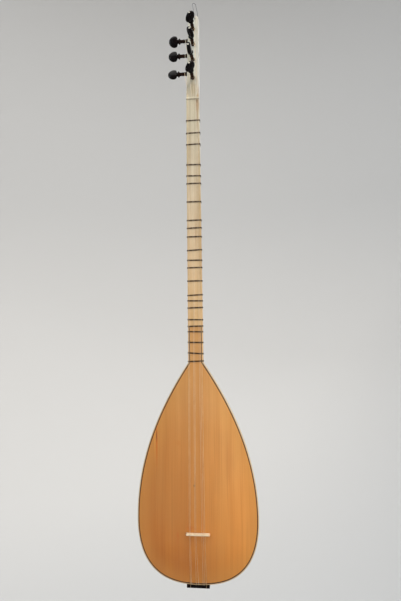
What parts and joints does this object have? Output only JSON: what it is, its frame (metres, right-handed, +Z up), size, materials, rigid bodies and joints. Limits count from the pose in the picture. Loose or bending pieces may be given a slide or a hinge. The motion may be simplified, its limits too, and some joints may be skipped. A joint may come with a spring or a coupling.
{
  "type": "long-neck baglama",
  "caption": "Long-necked plucked lute with a staved pear-shaped bowl, tied frets, movable bridge and friction pegs on the face and side of its peghead.",
  "frame": {"origin": "the point of the hanging loop that rests on a wall hook, above the peghead, in the instrument's middle plane", "axes": "+Z up along the neck towards the peghead, -Y out of the soundboard towards the listener, +X towards the treble strings, on the right seen from the front"},
  "size_m": [0.2424, 0.1792, 1.2301],
  "materials": {
    "neck_wood": "satin",
    "bowl_wood": "satin",
    "binding_wood": "satin",
    "nut_bone": "satin",
    "soundboard_wood": "satin",
    "purfling": "satin",
    "brace_wood": "bare",
    "block_wood": "bare",
    "tailpiece_black": "gloss",
    "loop_cord": "matte",
    "bridge_wood": "satin",
    "string_steel": "satin",
    "peg_black": "polished",
    "fret_nylon": "satin"
  },
  "bodies": {
    "instrument": {"neck": "neck_wood", "nut": "nut_bone", "neck_tongue": "soundboard_wood", "tongue_purfling": "purfling", "soundboard": "soundboard_wood", "body_purfling": "purfling", "edge_binding": "binding_wood", "soundboard_brace": "brace_wood", "neck_block": "block_wood", "tail_block": "block_wood", "tail_cap": "bowl_wood", "tailpiece": "tailpiece_black", "hanging_loop": "loop_cord", "stave_1": "bowl_wood", "stave_2": "bowl_wood", "stave_3": "bowl_wood", "stave_4": "bowl_wood", "stave_5": "bowl_wood", "stave_6": "bowl_wood", "stave_7": "bowl_wood", "stave_8": "bowl_wood", "stave_9": "bowl_wood", "string_1": "string_steel", "string_2": "string_steel", "string_3": "string_steel", "string_4": "string_steel", "string_5": "string_steel", "string_6": "string_steel", "string_7": "string_steel"},
    "bridge": {"bridge": "bridge_wood"},
    "fret_01": {"fret_01": "fret_nylon"},
    "fret_02": {"fret_02": "fret_nylon"},
    "fret_03": {"fret_03": "fret_nylon"},
    "fret_04": {"fret_04": "fret_nylon"},
    "fret_05": {"fret_05": "fret_nylon"},
    "fret_06": {"fret_06": "fret_nylon"},
    "fret_07": {"fret_07": "fret_nylon"},
    "fret_08": {"fret_08": "fret_nylon"},
    "fret_09": {"fret_09": "fret_nylon"},
    "fret_10": {"fret_10": "fret_nylon"},
    "fret_11": {"fret_11": "fret_nylon"},
    "fret_12": {"fret_12": "fret_nylon"},
    "fret_13": {"fret_13": "fret_nylon"},
    "fret_14": {"fret_14": "fret_nylon"},
    "fret_15": {"fret_15": "fret_nylon"},
    "fret_16": {"fret_16": "fret_nylon"},
    "fret_17": {"fret_17": "fret_nylon"},
    "fret_18": {"fret_18": "fret_nylon"},
    "fret_19": {"fret_19": "fret_nylon"},
    "fret_20": {"fret_20": "fret_nylon"},
    "fret_21": {"fret_21": "fret_nylon"},
    "fret_22": {"fret_22": "fret_nylon"},
    "fret_23": {"fret_23": "fret_nylon"},
    "peg_face_1": {"peg_face_1": "peg_black"},
    "peg_face_2": {"peg_face_2": "peg_black"},
    "peg_face_3": {"peg_face_3": "peg_black"},
    "peg_face_4": {"peg_face_4": "peg_black"},
    "peg_side_1": {"peg_side_1": "peg_black"},
    "peg_side_2": {"peg_side_2": "peg_black"},
    "peg_side_3": {"peg_side_3": "peg_black"}
  },
  "joints": [
    {"name": "peg_face_1_turn", "type": "hinge", "parent": "instrument", "child": "peg_face_1", "pos_m": [0, -0.01215, -0.0694], "axis": [-0.0645, -0.9882, 0.1389], "continuous": true},
    {"name": "peg_face_2_turn", "type": "hinge", "parent": "instrument", "child": "peg_face_2", "pos_m": [0, -0.01745, -0.1071], "axis": [-0.0454, -0.9892, 0.139], "continuous": true},
    {"name": "peg_face_3_turn", "type": "hinge", "parent": "instrument", "child": "peg_face_3", "pos_m": [0, -0.02277, -0.145], "axis": [-0.1045, -0.9848, 0.1384], "continuous": true},
    {"name": "peg_face_4_turn", "type": "hinge", "parent": "instrument", "child": "peg_face_4", "pos_m": [0, -0.0289, -0.1886], "axis": [-0.0488, -0.9891, 0.139], "continuous": true},
    {"name": "peg_side_1_turn", "type": "hinge", "parent": "instrument", "child": "peg_side_1", "pos_m": [-0.01191, -0.00752, -0.092], "axis": [-1, 0, 0], "continuous": true},
    {"name": "peg_side_2_turn", "type": "hinge", "parent": "instrument", "child": "peg_side_2", "pos_m": [-0.01229, -0.0127, -0.1288], "axis": [-1, 0, 0], "continuous": true},
    {"name": "peg_side_3_turn", "type": "hinge", "parent": "instrument", "child": "peg_side_3", "pos_m": [-0.01275, -0.01891, -0.173], "axis": [-1, 0, 0], "continuous": true},
    {"name": "bridge_slide", "type": "slide", "parent": "instrument", "child": "bridge", "axis": [0, 0, 1], "range_m": [-0.004, 0.008]},
    {"name": "fret_01_slide", "type": "slide", "parent": "instrument", "child": "fret_01", "axis": [0, 0, 1], "range_m": [-0.003, 0.003]},
    {"name": "fret_02_slide", "type": "slide", "parent": "instrument", "child": "fret_02", "axis": [0, 0, 1], "range_m": [-0.003, 0.003]},
    {"name": "fret_03_slide", "type": "slide", "parent": "instrument", "child": "fret_03", "axis": [0, 0, 1], "range_m": [-0.003, 0.003]},
    {"name": "fret_04_slide", "type": "slide", "parent": "instrument", "child": "fret_04", "axis": [0, 0, 1], "range_m": [-0.003, 0.003]},
    {"name": "fret_05_slide", "type": "slide", "parent": "instrument", "child": "fret_05", "axis": [0, 0, 1], "range_m": [-0.003, 0.003]},
    {"name": "fret_06_slide", "type": "slide", "parent": "instrument", "child": "fret_06", "axis": [0, 0, 1], "range_m": [-0.003, 0.003]},
    {"name": "fret_07_slide", "type": "slide", "parent": "instrument", "child": "fret_07", "axis": [0, 0, 1], "range_m": [-0.003, 0.003]},
    {"name": "fret_08_slide", "type": "slide", "parent": "instrument", "child": "fret_08", "axis": [0, 0, 1], "range_m": [-0.003, 0.003]},
    {"name": "fret_09_slide", "type": "slide", "parent": "instrument", "child": "fret_09", "axis": [0, 0, 1], "range_m": [-0.003, 0.003]},
    {"name": "fret_10_slide", "type": "slide", "parent": "instrument", "child": "fret_10", "axis": [0, 0, 1], "range_m": [-0.003, 0.003]},
    {"name": "fret_11_slide", "type": "slide", "parent": "instrument", "child": "fret_11", "axis": [0, 0, 1], "range_m": [-0.003, 0.003]},
    {"name": "fret_12_slide", "type": "slide", "parent": "instrument", "child": "fret_12", "axis": [0, 0, 1], "range_m": [-0.003, 0.003]},
    {"name": "fret_13_slide", "type": "slide", "parent": "instrument", "child": "fret_13", "axis": [0, 0, 1], "range_m": [-0.003, 0.003]},
    {"name": "fret_14_slide", "type": "slide", "parent": "instrument", "child": "fret_14", "axis": [0, 0, 1], "range_m": [-0.003, 0.003]},
    {"name": "fret_15_slide", "type": "slide", "parent": "instrument", "child": "fret_15", "axis": [0, 0, 1], "range_m": [-0.003, 0.003]},
    {"name": "fret_16_slide", "type": "slide", "parent": "instrument", "child": "fret_16", "axis": [0, 0, 1], "range_m": [-0.003, 0.003]},
    {"name": "fret_17_slide", "type": "slide", "parent": "instrument", "child": "fret_17", "axis": [0, 0, 1], "range_m": [-0.003, 0.003]},
    {"name": "fret_18_slide", "type": "slide", "parent": "instrument", "child": "fret_18", "axis": [0, 0, 1], "range_m": [-0.003, 0.003]},
    {"name": "fret_19_slide", "type": "slide", "parent": "instrument", "child": "fret_19", "axis": [0, 0, 1], "range_m": [-0.003, 0.003]},
    {"name": "fret_20_slide", "type": "slide", "parent": "instrument", "child": "fret_20", "axis": [0, 0, 1], "range_m": [-0.003, 0.003]},
    {"name": "fret_21_slide", "type": "slide", "parent": "instrument", "child": "fret_21", "axis": [0, 0, 1], "range_m": [-0.003, 0.003]},
    {"name": "fret_22_slide", "type": "slide", "parent": "instrument", "child": "fret_22", "axis": [0, 0, 1], "range_m": [-0.003, 0.003]},
    {"name": "fret_23_slide", "type": "slide", "parent": "instrument", "child": "fret_23", "axis": [0, 0, 1], "range_m": [0, 0.003]}
  ]
}
